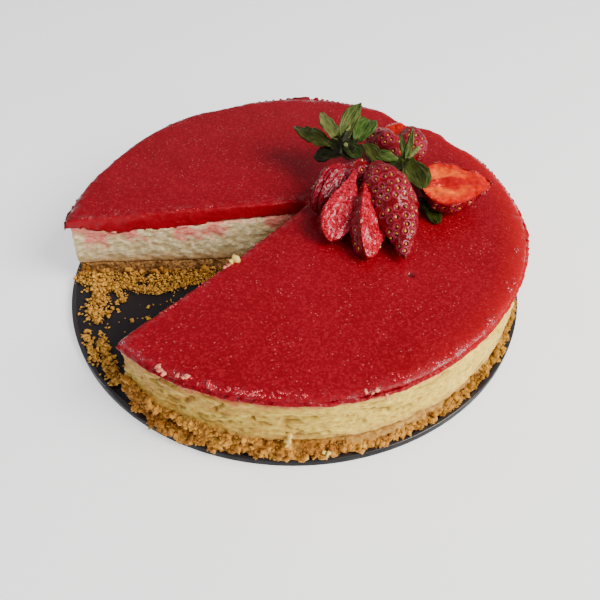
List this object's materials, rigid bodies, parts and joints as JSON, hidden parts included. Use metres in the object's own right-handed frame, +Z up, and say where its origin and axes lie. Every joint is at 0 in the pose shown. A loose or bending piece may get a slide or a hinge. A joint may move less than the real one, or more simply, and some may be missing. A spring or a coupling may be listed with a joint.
{
  "type": "strawberry cheesecake",
  "caption": "Round baked cheesecake on its tin base, crumb crust below, strawberry gel and cut strawberries on top, one wide slice taken out.",
  "frame": {"origin": "middle of the tin base's underside, on the table", "axes": "+Z up through the cake; -Y is the front; the missing slice opens towards -X and -Y"},
  "size_m": [0.24, 0.24, 0.0759],
  "materials": {
    "tin_steel": "dark satin baking coat, rubbed brighter on the rim",
    "crumb_crust": "dry golden-brown biscuit crumbs",
    "baked_cheese": "moist cream-coloured curd",
    "puree_gel": "satin, slightly clear set fruit gel",
    "berry_skin": "wet glossy strawberry with seeds",
    "berry_flesh": "wet cut strawberry flesh with pale rays",
    "sepal_green": "soft dark green leaf with paler veins"
  },
  "bodies": {
    "root": {"tin_base": "tin_steel", "crust": "crumb_crust", "cheese": "baked_cheese", "topping": "puree_gel", "fan_berry": "berry_skin", "back_berry": "berry_skin", "half_berry": "berry_flesh", "fan_calyx": "sepal_green", "back_calyx": "sepal_green", "low_leaf": "sepal_green"}
  },
  "joints": []
}
